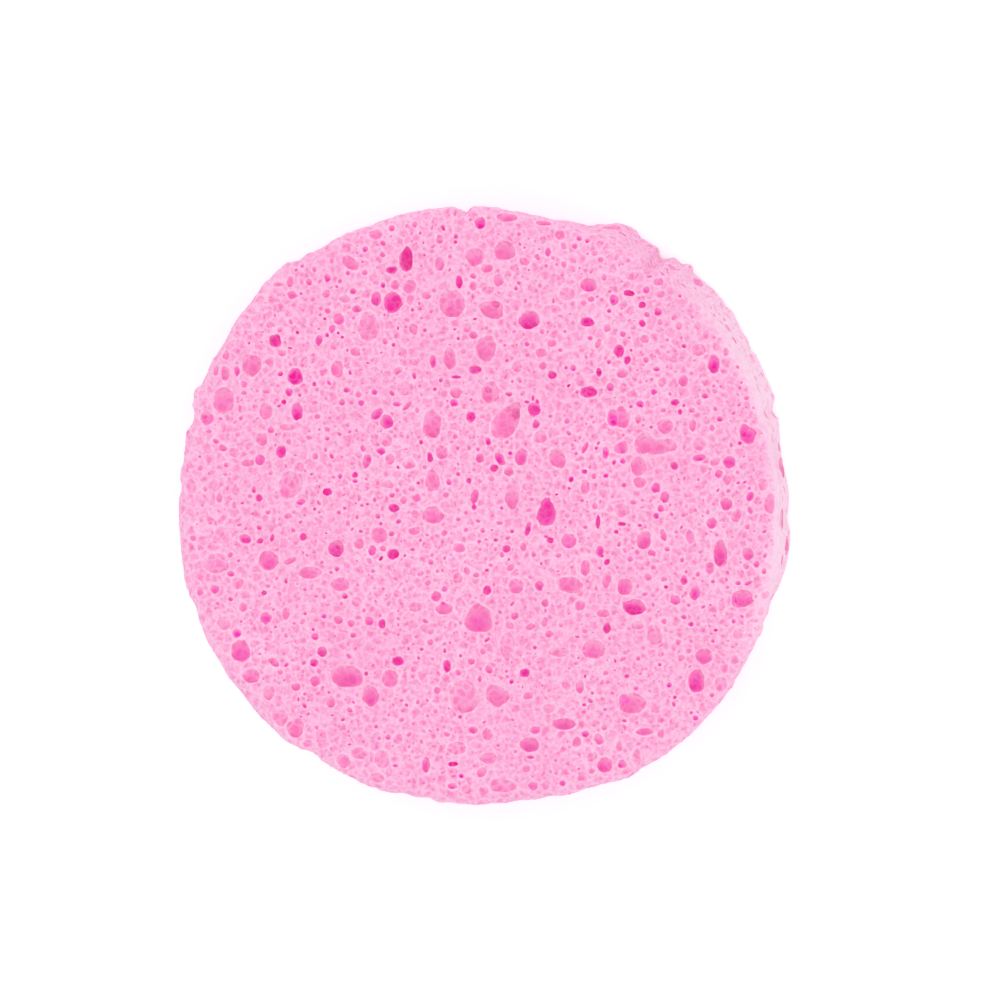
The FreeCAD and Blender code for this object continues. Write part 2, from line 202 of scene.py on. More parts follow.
# The open cells: bubbles in the foam that the knife cut through, some shallow and some deep.
# The larger ones of the front face lie where the photograph shows them, read from it.
# A row gives a cell's middle, width and height in pixels, its darkness from 1 to 5, and its lean.
pixel = 0.125 * MM
face_middle_px = (477.5, 507.0)
picture_middle_px = (500.0, 500.0)
camera_distance = 1.00
view_tilt = math.radians(7.7)
view_heading = math.radians(25.0)
steepness = {1: 0.18, 2: 0.29, 3: 0.39, 4: 0.48, 5: 0.56}
slope_by_tone = {1: 1.0, 2: 1.0, 3: 0.9, 4: 0.6, 5: 0.3}
opening_spread = {1: 1.10, 2: 1.08, 3: 1.07, 4: 1.02, 5: 0.98}
deepest_cell = 2.6 * MM
upper_left_cells = [
    (275, 341, 13, 14, 5, 0), (295, 377, 16, 17, 5, 0), (289, 392, 8, 9, 4, 0),
    (284, 402, 6, 6, 5, 0), (314, 384, 5, 6, 5, 0), (350, 263, 18, 12, 2, -35),
    (376, 299, 10, 16, 4, 0), (252, 365, 18, 20, 2, 0), (223, 400, 21, 24, 2, 0),
    (237, 371, 6, 10, 4, 0), (369, 325, 20, 26, 1, 0), (339, 319, 10, 11, 3, 0),
    (319, 340, 8, 10, 4, 0), (337, 370, 13, 17, 2, 0), (277, 284, 12, 5, 2, 0),
    (290, 281, 6, 12, 2, 0), (292, 295, 9, 8, 3, 0), (347, 390, 8, 6, 4, 0),
    (374, 392, 7, 7, 4, 0), (361, 403, 7, 7, 5, 0), (342, 402, 7, 7, 4, 0), (365, 249, 6, 6, 4, 0),
    (376, 234, 13, 10, 2, 0), (353, 291, 7, 7, 4, 0), (327, 278, 7, 8, 4, 0),
    (340, 281, 5, 5, 4, 0), (348, 273, 5, 5, 4, 0), (326, 294, 8, 8, 2, 0), (328, 311, 7, 6, 3, 0),
    (357, 309, 9, 7, 3, 0), (356, 352, 10, 9, 2, 0), (282, 353, 8, 7, 2, 0),
    (244, 384, 7, 7, 2, 0), (226, 355, 8, 10, 2, 0), (225, 373, 8, 14, 2, 0),
    (216, 370, 6, 12, 2, 0), (267, 390, 9, 8, 1, 0), (206, 418, 14, 13, 3, 0),
    (266, 411, 14, 16, 2, 0), (297, 411, 12, 17, 4, 0), (262, 439, 11, 13, 2, 0),
    (281, 452, 11, 12, 5, 0), (260, 460, 10, 11, 4, 0), (290, 484, 22, 26, 1, -20),
    (327, 492, 10, 8, 5, 0), (259, 498, 8, 8, 5, 0), (301, 502, 9, 6, 4, 20),
    (355, 475, 7, 7, 5, 0), (355, 481, 6, 5, 4, 0), (377, 414, 15, 8, 4, 42),
    (387, 422, 14, 13, 4, 0), (432, 424, 17, 28, 2, 0), (471, 417, 10, 11, 5, 0),
    (454, 403, 8, 8, 4, 0), (432, 481, 13, 21, 2, 0), (430, 457, 6, 12, 5, 5),
    (442, 452, 12, 13, 2, 0), (442, 457, 5, 4, 4, 0), (367, 461, 9, 14, 3, -10),
    (386, 440, 12, 13, 1, 0), (381, 451, 9, 7, 4, 0), (390, 459, 9, 10, 2, 0),
    (409, 464, 12, 10, 1, 0), (405, 388, 16, 14, 1, 0), (469, 481, 6, 7, 5, 20),
    (288, 427, 17, 6, 1, 0), (475, 497, 8, 15, 3, -5), (474, 507, 6, 7, 5, 0),
    (394, 508, 12, 9, 5, -20), (240, 409, 4, 8, 3, 0), (241, 418, 4, 4, 3, 0),
    (209, 431, 7, 4, 3, 0), (223, 448, 8, 7, 3, 0), (226, 465, 5, 5, 4, 0), (327, 438, 6, 5, 4, 0),
    (315, 456, 6, 7, 3, 0), (340, 476, 5, 6, 4, 0), (363, 448, 6, 7, 3, 0), (190, 464, 9, 7, 1, 0),
    (205, 489, 5, 6, 2, 0), (219, 498, 6, 10, 2, 0), (268, 512, 6, 5, 3, 0),
    (378, 516, 6, 6, 4, 0), (357, 517, 4, 5, 3, 0), (250, 496, 5, 5, 3, 0), (421, 442, 5, 6, 5, 0),
    (397, 404, 9, 5, 4, 0), (407, 406, 12, 4, 3, 40), (417, 410, 5, 6, 3, 0),
    (248, 463, 12, 7, 2, 0), (200, 468, 6, 6, 2, 0), (327, 429, 7, 5, 2, -40),
    (318, 492, 4, 4, 2, 0), (388, 484, 11, 8, 1, 0), (392, 495, 6, 6, 4, 0),
    (397, 490, 4, 5, 3, 0), (449, 482, 6, 7, 4, 30), (458, 474, 5, 5, 4, 0),
    (417, 498, 8, 8, 3, 0), (425, 467, 5, 4, 3, 0),
]
top_cells = [
    (406, 259, 14, 26, 5, 0), (392, 270, 12, 8, 5, 0), (393, 302, 20, 20, 5, 0),
    (410, 287, 13, 13, 2, 0), (395, 285, 8, 9, 3, 0), (383, 243, 6, 6, 4, 0),
    (392, 228, 6, 7, 3, 0), (383, 285, 5, 6, 4, 0), (410, 300, 7, 9, 1, 0), (427, 295, 9, 8, 2, 0),
    (440, 264, 9, 14, 2, 0), (456, 236, 5, 6, 4, 0), (450, 256, 5, 5, 3, 0),
    (459, 282, 7, 14, 5, 0), (473, 286, 8, 9, 2, 0), (452, 304, 24, 25, 2, 0),
    (475, 257, 18, 16, 2, 0), (487, 268, 12, 8, 2, 0), (504, 251, 21, 19, 2, 0),
    (480, 223, 11, 12, 4, 0), (507, 217, 20, 9, 2, 0), (544, 223, 14, 5, 3, 0),
    (492, 309, 24, 17, 2, 0), (529, 320, 21, 18, 4, 0), (486, 349, 18, 26, 2, -18),
    (450, 359, 13, 20, 2, 0), (433, 362, 7, 12, 4, 0), (475, 370, 13, 10, 5, 0),
    (456, 377, 11, 4, 5, 0), (441, 380, 5, 5, 4, 0), (490, 393, 17, 20, 2, 0),
    (456, 393, 12, 10, 2, 0), (534, 409, 14, 14, 5, 0), (527, 402, 6, 4, 5, 0),
    (533, 398, 4, 7, 5, 0), (537, 402, 5, 6, 5, 0), (536, 424, 7, 9, 4, -30),
    (552, 375, 10, 8, 5, 0), (573, 368, 7, 7, 4, 0), (589, 392, 18, 12, 5, 0),
    (509, 394, 8, 5, 4, 0), (541, 353, 11, 9, 2, 0), (527, 344, 6, 5, 4, 0),
    (560, 350, 5, 4, 3, 0), (587, 322, 14, 10, 5, 0), (589, 285, 17, 13, 3, 0),
    (548, 252, 6, 8, 3, 0), (425, 330, 5, 5, 4, 0), (467, 328, 9, 9, 1, 0), (473, 335, 9, 7, 3, 0),
    (385, 341, 6, 7, 3, 0), (567, 294, 15, 12, 1, 0), (488, 290, 12, 8, 1, 0),
    (550, 387, 10, 8, 1, 0), (579, 238, 6, 6, 4, 0),
]
upper_right_cells = [
    (614, 300, 9, 10, 4, 0), (629, 293, 12, 7, 5, 0), (642, 305, 8, 7, 5, 0),
    (642, 323, 7, 8, 5, 0), (658, 312, 8, 8, 4, 0), (658, 282, 9, 8, 2, 0),
    (660, 294, 11, 7, 1, 0), (662, 273, 10, 4, 2, 0), (632, 276, 13, 8, 1, 0),
    (619, 351, 11, 14, 5, 0), (627, 360, 8, 9, 5, 0), (599, 372, 6, 9, 5, 0),
    (590, 338, 6, 5, 4, 0), (610, 387, 8, 8, 3, 0), (607, 328, 7, 8, 2, 0), (609, 311, 5, 5, 4, 0),
    (591, 299, 7, 6, 3, 0), (604, 277, 6, 7, 3, 0), (714, 364, 12, 19, 4, 0),
    (699, 350, 13, 11, 1, 0), (683, 381, 9, 12, 3, 0), (657, 369, 8, 5, 4, 0),
    (654, 392, 7, 7, 4, 0), (705, 396, 8, 6, 4, 0), (684, 346, 6, 5, 4, 0), (679, 326, 6, 8, 2, 0),
    (640, 404, 8, 7, 4, -35), (675, 402, 9, 7, 4, 0), (722, 323, 7, 7, 2, 0),
    (726, 352, 5, 9, 2, 0), (507, 421, 22, 40, 2, -28), (613, 418, 12, 17, 4, 0),
    (622, 418, 16, 20, 2, 0), (665, 426, 16, 15, 2, 0), (645, 444, 19, 20, 2, 0),
    (657, 447, 26, 14, 2, 0), (668, 445, 16, 13, 1, 0), (638, 466, 15, 18, 2, 0),
    (621, 448, 13, 12, 3, 0), (606, 453, 7, 11, 4, 0), (623, 461, 6, 6, 4, 0),
    (557, 458, 15, 19, 2, 35), (521, 457, 13, 17, 3, -15), (500, 459, 9, 14, 4, 30),
    (494, 468, 9, 8, 5, 0), (540, 437, 14, 12, 1, 0), (571, 479, 6, 8, 5, -25),
    (585, 487, 9, 14, 2, 0), (748, 435, 17, 17, 4, 30), (745, 430, 10, 12, 4, 0),
    (730, 462, 13, 12, 4, 0), (699, 458, 13, 7, 4, 12), (700, 444, 13, 13, 1, 0),
    (674, 466, 8, 9, 5, 20), (680, 412, 5, 7, 5, 0), (720, 419, 7, 6, 4, 0),
    (719, 474, 8, 8, 3, 0), (656, 488, 9, 10, 4, -20), (665, 497, 9, 11, 3, 0),
    (640, 482, 12, 11, 2, 0), (488, 441, 6, 9, 4, 25), (507, 442, 5, 4, 3, 0),
    (510, 453, 5, 5, 5, 0), (638, 419, 6, 9, 2, 0), (663, 410, 6, 5, 3, 0), (550, 416, 5, 4, 3, 0),
    (567, 421, 6, 6, 3, 0), (480, 458, 8, 10, 3, 0), (458, 448, 4, 4, 3, 0),
    (469, 448, 5, 5, 2, 0), (585, 448, 5, 12, 3, -25), (593, 435, 4, 5, 2, 0),
    (712, 428, 5, 7, 3, 20), (715, 409, 5, 5, 3, 0), (668, 456, 12, 6, 3, 12),
    (684, 447, 4, 6, 2, 0), (763, 484, 9, 12, 1, 0), (750, 497, 7, 10, 4, -15),
    (750, 510, 5, 9, 3, 20),
]
lower_left_cells = [
    (347, 677, 30, 21, 3, 0), (241, 651, 19, 19, 3, 0), (250, 676, 17, 14, 2, 0),
    (371, 696, 16, 19, 3, 0), (390, 679, 15, 17, 2, 0), (398, 661, 13, 10, 5, 0),
    (447, 666, 8, 13, 5, 0), (322, 652, 10, 11, 4, 0), (314, 663, 9, 8, 4, 0),
    (315, 681, 10, 10, 3, 0), (296, 687, 9, 8, 3, 0), (266, 618, 12, 11, 4, 0),
    (216, 563, 22, 19, 1, 0), (225, 566, 8, 9, 2, 0), (268, 560, 20, 18, 3, 0),
    (274, 557, 6, 6, 5, 0), (268, 565, 11, 4, 4, 0), (311, 573, 22, 12, 2, 0),
    (308, 577, 9, 4, 4, 0), (340, 584, 18, 13, 2, 5), (336, 549, 16, 16, 4, -45),
    (372, 550, 8, 9, 3, 0), (372, 553, 7, 6, 5, 0), (393, 554, 13, 11, 5, 0),
    (434, 515, 20, 17, 2, 0), (379, 535, 15, 15, 2, 0), (303, 537, 8, 8, 5, 20),
    (245, 539, 13, 9, 4, -20), (260, 541, 8, 6, 5, 20), (272, 538, 5, 9, 5, -20),
    (290, 561, 13, 6, 2, 25), (264, 593, 6, 6, 5, 0), (268, 586, 6, 4, 3, 0),
    (231, 574, 8, 6, 4, 0), (215, 589, 8, 9, 3, 0), (200, 591, 7, 9, 2, 0), (218, 603, 4, 4, 3, 0),
    (224, 623, 13, 12, 1, 0), (237, 633, 9, 8, 4, 0), (286, 613, 8, 13, 2, 0),
    (338, 620, 9, 8, 3, 0), (369, 621, 9, 9, 4, 0), (382, 624, 8, 10, 5, 0),
    (315, 637, 8, 7, 4, 0), (353, 635, 7, 6, 4, 0), (415, 607, 13, 10, 1, 0),
    (444, 609, 18, 11, 2, 0), (443, 603, 6, 4, 4, 0), (436, 596, 10, 10, 3, 0),
    (479, 617, 24, 29, 3, 0), (487, 590, 9, 10, 5, 0), (464, 697, 28, 30, 1, 0),
    (457, 748, 19, 12, 1, 0), (489, 758, 15, 11, 2, 0), (453, 764, 11, 5, 5, 0),
    (452, 786, 9, 6, 3, 0), (426, 765, 8, 15, 3, 0), (382, 759, 14, 17, 1, 0),
    (359, 753, 15, 12, 1, 0), (343, 761, 14, 13, 2, 0), (377, 778, 14, 11, 1, 0),
    (307, 744, 11, 9, 2, 0), (296, 728, 16, 18, 2, 0), (279, 717, 16, 16, 1, 0),
    (269, 692, 11, 14, 1, 0), (331, 702, 8, 12, 2, 0), (388, 737, 6, 6, 4, 0),
    (473, 730, 9, 8, 3, 0), (487, 734, 10, 11, 2, 0), (414, 531, 12, 7, 2, 10),
    (427, 535, 5, 4, 3, 0), (479, 541, 5, 5, 4, 0), (480, 549, 4, 4, 3, 0),
    (345, 596, 7, 6, 4, -20), (337, 569, 6, 5, 4, 0), (373, 571, 5, 4, 3, 0),
    (459, 548, 11, 9, 2, 0), (438, 500, 5, 4, 1, 0), (458, 519, 6, 4, 3, 0),
    (478, 521, 5, 4, 4, 0), (491, 565, 5, 4, 3, 0), (487, 570, 5, 4, 4, 0), (502, 555, 5, 6, 3, 0),
    (348, 523, 5, 6, 2, 0), (293, 530, 4, 5, 3, 0), (288, 516, 8, 6, 2, 0), (296, 543, 5, 4, 2, 0),
    (314, 551, 5, 5, 2, 0), (193, 538, 6, 5, 2, 0), (192, 486, 14, 14, 1, 0),
    (230, 555, 5, 6, 3, -40), (428, 583, 7, 5, 2, 35), (496, 540, 5, 4, 4, 0),
    (495, 549, 4, 5, 3, 0), (499, 523, 8, 5, 3, 0), (512, 531, 6, 5, 4, 0), (523, 547, 7, 8, 3, 0),
    (467, 571, 6, 8, 2, 30),
]
lower_right_cells = [
    (547, 512, 19, 28, 5, 0), (512, 498, 13, 20, 2, 0), (513, 488, 13, 12, 1, 0),
    (528, 529, 6, 15, 4, -15), (550, 540, 8, 7, 5, 0), (546, 536, 6, 4, 4, 0),
    (569, 541, 14, 14, 3, 0), (568, 546, 8, 6, 5, 0), (598, 522, 5, 14, 5, 0),
    (622, 524, 10, 5, 5, 0), (616, 532, 5, 5, 5, 0), (656, 516, 7, 7, 5, 0),
    (644, 540, 15, 17, 3, 0), (645, 546, 6, 5, 4, 0), (506, 549, 9, 8, 5, 0),
    (600, 551, 8, 11, 4, 0), (602, 556, 5, 4, 5, 0), (607, 562, 6, 8, 5, -20),
    (630, 559, 7, 6, 4, 0), (690, 537, 8, 13, 2, 0), (712, 523, 10, 11, 3, 0),
    (736, 516, 9, 13, 2, -15), (726, 504, 12, 12, 3, 0), (771, 504, 13, 18, 2, 0),
    (771, 497, 8, 8, 2, 0), (720, 553, 13, 26, 3, 0), (710, 568, 9, 12, 2, 0),
    (748, 554, 11, 12, 3, 0), (539, 586, 9, 10, 4, 0), (569, 585, 25, 15, 2, -8),
    (516, 586, 15, 15, 2, 0), (585, 568, 9, 17, 2, 0), (607, 579, 8, 18, 2, -12),
    (625, 587, 14, 17, 3, 0), (634, 607, 24, 16, 4, -10), (629, 603, 8, 5, 5, 0),
    (695, 593, 10, 15, 4, -12), (684, 580, 8, 9, 4, 0), (675, 600, 10, 10, 3, 0),
    (742, 599, 20, 17, 3, 0), (737, 598, 11, 12, 4, 0), (766, 595, 12, 8, 2, 0),
    (762, 611, 12, 8, 1, 0), (684, 617, 6, 5, 4, 0), (691, 624, 7, 6, 5, 0),
    (607, 628, 9, 12, 5, 0), (603, 613, 12, 8, 2, 0), (655, 635, 14, 19, 1, 0),
    (594, 650, 24, 17, 2, 0), (559, 652, 20, 9, 1, 0), (507, 645, 14, 24, 1, 0),
    (525, 673, 11, 10, 5, 0), (498, 695, 23, 19, 2, 0), (549, 634, 8, 7, 3, 0),
    (515, 616, 8, 7, 3, 0), (564, 724, 22, 11, 3, 0), (529, 745, 19, 14, 3, 0),
    (531, 757, 8, 4, 4, 0), (502, 786, 25, 12, 1, 0), (533, 786, 10, 8, 3, 0),
    (605, 765, 15, 15, 3, 0), (622, 764, 9, 8, 3, 0), (599, 739, 9, 11, 2, 0),
    (585, 734, 8, 7, 4, 0), (577, 742, 8, 11, 2, 0), (645, 732, 17, 7, 3, 0),
    (619, 746, 6, 11, 2, 0), (637, 757, 8, 18, 1, 0), (632, 703, 26, 20, 2, 0),
    (625, 701, 12, 13, 4, 0), (696, 681, 16, 23, 4, 0), (704, 656, 17, 14, 3, 0),
    (549, 708, 12, 9, 1, 0), (636, 688, 6, 5, 4, 0), (627, 676, 6, 5, 4, 0),
    (669, 685, 6, 6, 4, 0), (580, 687, 8, 13, 2, 0), (721, 684, 12, 15, 1, 0),
    (637, 625, 12, 9, 1, 0), (535, 730, 10, 8, 3, 0), (545, 520, 13, 9, 5, 0),
    (633, 502, 7, 5, 2, 0), (622, 510, 14, 12, 1, 0), (652, 553, 9, 6, 3, -20),
    (667, 549, 6, 5, 3, 0), (682, 560, 5, 6, 4, 0), (698, 574, 5, 6, 3, 0), (713, 581, 5, 4, 4, 0),
    (664, 579, 6, 5, 3, 0), (645, 594, 6, 5, 4, 0), (648, 577, 8, 7, 2, 0), (727, 587, 5, 4, 3, 0),
    (738, 583, 6, 5, 4, 0), (748, 583, 10, 4, 3, 25), (663, 535, 6, 12, 2, 15),
    (676, 532, 5, 4, 3, 0), (619, 544, 5, 6, 3, 0), (637, 552, 5, 6, 3, 0), (625, 550, 4, 6, 2, 0),
    (728, 491, 5, 5, 3, 0), (727, 480, 7, 10, 2, 0), (738, 472, 5, 4, 2, 0),
    (642, 500, 4, 3, 2, 0), (764, 571, 5, 7, 3, 0), (595, 506, 6, 7, 2, 0), (624, 485, 6, 5, 4, 0),
    (594, 476, 5, 6, 3, 0), (531, 577, 6, 4, 2, 0), (551, 570, 7, 5, 2, 0), (582, 500, 4, 4, 3, 0),
    (596, 588, 4, 5, 2, 0),
]
# A few of them narrow clearly towards their upper end, by this share of their width.
pear_shares = {
    (547, 512): 0.40, (479, 617): 0.36, (507, 421): 0.30, (531, 745): 0.25, (369, 325): 0.20,
}
stray_taper_share = 0.16
skin_height = 0.35 * MM
skin_lift_share = 0.08
fewest_corners = 4
most_corners = 7
corner_tilt = (-0.5, 0.4)
corner_cut = (0.80, 0.99)
corner_push = 0.85
bubble_fullness = 1.06
wall_lump = 0.10
wall_lump_length = 1.6
widest_throat = 1.6
least_girth = 0.2
darkest = 5
window_share = 0.12
front_window_share = 0.04
window_size = (0.26, 0.40)
window_shade_step = 0.3
front_sag = np.array([-0.10, -0.42, 0.0])
sag_power = 1.5
level_facing = 0.7
cell_gap = 0.10 * MM
ray_start = 5.0 * MM


def ball_of(level):
    """The points and triangles of a unit ball, which bubbles of that fineness are shaped from."""
    bpy.ops.mesh.primitive_ico_sphere_add(subdivisions=level, radius=1.0)
    ball = bpy.context.object
    ball_points = read_points(ball)
    corners = np.empty(len(ball.data.polygons) * 3, dtype=int)
    ball.data.polygons.foreach_get("vertices", corners)
    bpy.data.objects.remove(ball, do_unlink=True)
    return ball_points, corners.reshape(-1, 3)


balls = {level: ball_of(level) for level in (1, 2, 3, 4)}
ball_sizes = [(2.2 * MM, 4), (0.9 * MM, 3), (0.45 * MM, 2), (0.0, 1)]


def bubble(cell, draw):
    """One bubble: an uneven, faceted bowl that opens with the cell's width and length."""
    place, outward, along, half_width, half_length, depth, tone, taper = cell
    mean = math.sqrt(half_width * half_length)
    level = next(level for least, level in ball_sizes if mean * 2.0 > least)
    ball_points, corners = balls[level]
    shape = ball_points.copy()
    flat = shape[:, :2]
    for _ in range(draw.randint(fewest_corners, most_corners + 1)):
        turn = draw.uniform(0.0, 2.0 * math.pi)
        tilt = draw.uniform(*corner_tilt)
        side = np.array([math.cos(turn), math.sin(turn), tilt])
        side /= np.linalg.norm(side)
        beyond = shape @ side - draw.uniform(*corner_cut)
        shape -= np.clip(beyond, 0.0, None)[:, None] * side * corner_push
    lumps = waves(ball_points, wall_lump_length, draw.randint(1 << 30), count=5)
    shape *= bubble_fullness + wall_lump * lumps[:, None]
    below = shape[:, 2] < 0.0
    girth = np.hypot(flat[:, 0], flat[:, 1])
    throat = np.minimum(widest_throat, 1.0 / np.maximum(girth, least_girth))
    widen = np.where(below, 1.0, throat)
    lift = np.where(below, depth, skin_height + skin_lift_share * mean)
    slope = slope_by_tone[int(tone)]
    sunk = np.clip(-shape[:, 2], 0.0, 1.0)
    shape[:, 2] *= np.where(below, 1.0 - slope + slope * sunk, 1.0)
    x = flat[:, 0] * widen * half_width * (1.0 - taper * np.clip(flat[:, 1], -1.0, 1.0))
    y = flat[:, 1] * widen * half_length
    z = shape[:, 2] * lift
    across = np.cross(along, outward)
    solid = place + x[:, None] * across + y[:, None] * along + z[:, None] * outward
    if outward[2] > level_facing and tone < darkest:
        sag = np.clip(-shape[:, 2], 0.0, 1.0) ** sag_power * mean
        solid = solid + sag[:, None] * front_sag
    return solid, corners


front_top = disc_high[2]
blank_tree = BVHTree.FromObject(sponge, bpy.context.evaluated_depsgraph_get())


def on_front(x, y):
    above = Vector((x, y, front_top + ray_start))
    return blank_tree.ray_cast(above, Vector((0, 0, -1)))[:2]


def on_back(x, y):
    below = Vector((x, y, -ray_start))
    return blank_tree.ray_cast(below, Vector((0, 0, 1)))[:2]


def on_wall(heading, z):
    way = Vector((math.cos(heading), math.sin(heading), 0.0))
    beside = way * (punch_radius + ray_start) + Vector((0, 0, z))
    return blank_tree.ray_cast(beside, -way)[:2]


def seat(hit, normal, lean, width, length, tone, taper):
    """A cell at a spot on the blank's skin, its long side turned by lean from the way up."""
    outward = np.array(normal)
    level = abs(outward[2]) > level_facing
    up = np.array([0.0, 1.0, 0.0]) if level else np.array([0.0, 0.0, 1.0])
    along = up - outward * (up @ outward)
    along /= np.linalg.norm(along)
    across = np.cross(along, outward)
    turned = along * math.cos(lean) + across * math.sin(lean)
    depth = min(steepness[tone] * math.sqrt(width * length), deepest_cell)
    return np.array(hit), outward, turned, width / 2.0, length / 2.0, depth, tone, taper


# The photograph looks almost straight down on the front face and just sees the wall on the right.
aim_x = (picture_middle_px[0] - face_middle_px[0]) * pixel
aim_y = (face_middle_px[1] - picture_middle_px[1]) * pixel
aim = Vector((aim_x, aim_y, slab_thickness))
toward = Vector((
    math.sin(view_tilt) * math.cos(view_heading),
    math.sin(view_tilt) * math.sin(view_heading),
    math.cos(view_tilt),
))
image_up = (Vector((0, 1, 0)) - toward * toward.y).normalized()
image_right = image_up.cross(toward)
eye_place = aim + toward * camera_distance


def seen_at(px, py):
    """The spot of the blank that the photograph shows at a pixel."""
    right = (px - picture_middle_px[0]) * pixel
    up = (picture_middle_px[1] - py) * pixel
    way = aim + image_right * right + image_up * up - eye_place
    return blank_tree.ray_cast(eye_place, way.normalized())[:2]


cells = []
for row in upper_left_cells + top_cells + upper_right_cells + lower_left_cells + lower_right_cells:
    px, py, width_px, height_px, tone, lean = row
    hit, normal = seen_at(px, py)
    if hit is None:
        continue
    width = width_px * pixel * opening_spread[tone]
    length = height_px * pixel * opening_spread[tone]
    taper = pear_shares.get((px, py), 0.0)
    cells.append(seat(hit, normal, math.radians(-lean), width, length, tone, taper))

# Cells too small to read one by one, and all those of the back and the wall, are strewn by chance.
# Each takes a free spot, large ones first, and none opens on the smooth drawn edge of the front.
# A row gives the least and most width in mm, how many, and how common each darkness is.
usual_tones = [0.24, 0.30, 0.23, 0.16, 0.07]
wall_tones = [0.30, 0.34, 0.20, 0.12, 0.04]
front_counts = [
    (1.00, 1.60, 60, [0.60, 0.40, 0.0, 0.0, 0.0]),
    (0.62, 1.00, 330, [0.30, 0.34, 0.22, 0.10, 0.04]),
    (0.42, 0.62, 1150, usual_tones),
    (0.28, 0.42, 900, [0.30, 0.42, 0.24, 0.04, 0.0]),
]
back_counts = [
    (2.60, 3.90, 14, usual_tones),
    (1.70, 2.60, 60, usual_tones),
    (1.10, 1.70, 130, usual_tones),
    (0.62, 1.10, 500, usual_tones),
    (0.30, 0.62, 1100, [0.26, 0.34, 0.24, 0.12, 0.04]),
]
wall_counts = [
    (2.20, 3.40, 14, wall_tones),
    (1.50, 2.20, 46, wall_tones),
    (0.90, 1.50, 150, wall_tones),
    (0.50, 0.90, 460, [0.34, 0.36, 0.20, 0.08, 0.02]),
    (0.28, 0.50, 600, [0.40, 0.40, 0.20, 0.0, 0.0]),
]
stray_stretch = (0.50, 1.0)
tries_per_cell = 12
drawn_edge_share = (0.10, 0.75)
drawn_edge_gap = 0.2 * MM
wall_foot_share = 0.6
wall_top_share = 0.7
draw = np.random.RandomState(205)
taken = [(cell[0], max(cell[3], cell[4])) for cell in cells]


def strew(counts, find_spot, taken):
    """Drops cells of each size on spots that are still free."""
    places = np.array([place for place, reach in taken]).reshape(-1, 3)
    reaches = np.array([reach for place, reach in taken])
    strewn = []
    for least, most, count, tone_shares in counts:
        tries = 0
        dropped = 0
        while dropped < count and tries < count * tries_per_cell:
            tries += 1
            size = draw.uniform(least, most) * MM
            stretch = draw.uniform(*stray_stretch)
            hit, normal = find_spot(size)
            if hit is None:
                continue
            spot = np.array(hit)
            if len(places):
                apart = np.linalg.norm(places - spot, axis=1) - reaches
                if apart.min() < size / 2.0 + cell_gap:
                    continue
            tone = int(draw.choice([1, 2, 3, 4, 5], p=tone_shares))
            lean = draw.uniform(0.0, math.pi)
            taper = draw.uniform(-stray_taper_share, stray_taper_share)
            strewn.append(seat(hit, normal, lean, size * stretch, size, tone, taper))
            places = np.vstack([places, spot[None, :]])
            reaches = np.append(reaches, size / 2.0)
            dropped += 1
    return strewn


def front_spot(size):
    heading = draw.uniform(0.0, 2.0 * math.pi)
    swing = (1.0 + math.cos(heading - drag_heading)) / 2.0
    outline = punch_radius * float(around(front_radius_shares, np.array([heading]))[0])
    least_share, drag_share = drawn_edge_share
    smooth_edge = front_edge_inset * (least_share + drag_share * swing) + drawn_edge_gap
    reach = (outline - smooth_edge - size / 2.0) * math.sqrt(draw.uniform())
    return on_front(reach * math.cos(heading), reach * math.sin(heading))


def back_spot(size):
    heading = draw.uniform(0.0, 2.0 * math.pi)
    outline = punch_radius * float(around(back_radius_shares, np.array([heading]))[0])
    reach = (outline - back_edge_inset - size / 2.0) * math.sqrt(draw.uniform())
    return on_back(reach * math.cos(heading), reach * math.sin(heading))


def wall_spot(size):
    heading = draw.uniform(0.0, 2.0 * math.pi)
    lowest = back_edge_drop * wall_foot_share + size / 2.0
    highest = slab_thickness - front_edge_drop * wall_top_share - size / 2.0
    return on_wall(heading, draw.uniform(lowest, highest))


cells += strew(front_counts, front_spot, taken)
cells += strew(back_counts, back_spot, [])
cells += strew(wall_counts, wall_spot, [])

# Inside some of the larger cells, windows open into the bubbles below, where the shared wall burst.
least_windowed = 0.5 * MM
wide_cell = 1.0 * MM
spots_in_wide_cell = 3
spots_in_cell = 2
window_out = (0.25, 0.70)
window_seat = 0.92
window_facing = (0.7, 1.0)
window_tilt = 0.8
window_depth_share = (0.3, 0.7)
window_narrowing = (0.7, 1.0)
windows = []
for place, outward, along, half_width, half_length, depth, tone, taper in cells:
    mean = math.sqrt(half_width * half_length)
    if mean < least_windowed:
        continue
    chance = front_window_share if outward[2] > level_facing else window_share
    for _ in range(spots_in_wide_cell if mean > wide_cell else spots_in_cell):
        if draw.uniform() > chance:
            continue
        across = np.cross(along, outward)
        turn = draw.uniform(0.0, 2.0 * math.pi)
        out = draw.uniform(*window_out)
        sideways = across * math.cos(turn) * half_width + along * math.sin(turn) * half_length
        floor_depth = depth * math.sqrt(1.0 - out * out)
        spot = place + sideways * out - outward * floor_depth * window_seat
        size = mean * draw.uniform(*window_size)
        way = outward * draw.uniform(*window_facing) - sideways / mean * out * window_tilt
        way /= np.linalg.norm(way)
        long_way = np.cross(way, along)
        long_way /= np.linalg.norm(long_way)
        window_depth = size * draw.uniform(*window_depth_share)
        narrow = size * draw.uniform(*window_narrowing)
        # Painted shade: a window takes a darker tone than its cell, as it lies further in.
        window_tone = min(tone + window_shade_step, float(darkest))
        windows.append((spot, way, long_way, narrow, size, window_depth, window_tone, 0.0))

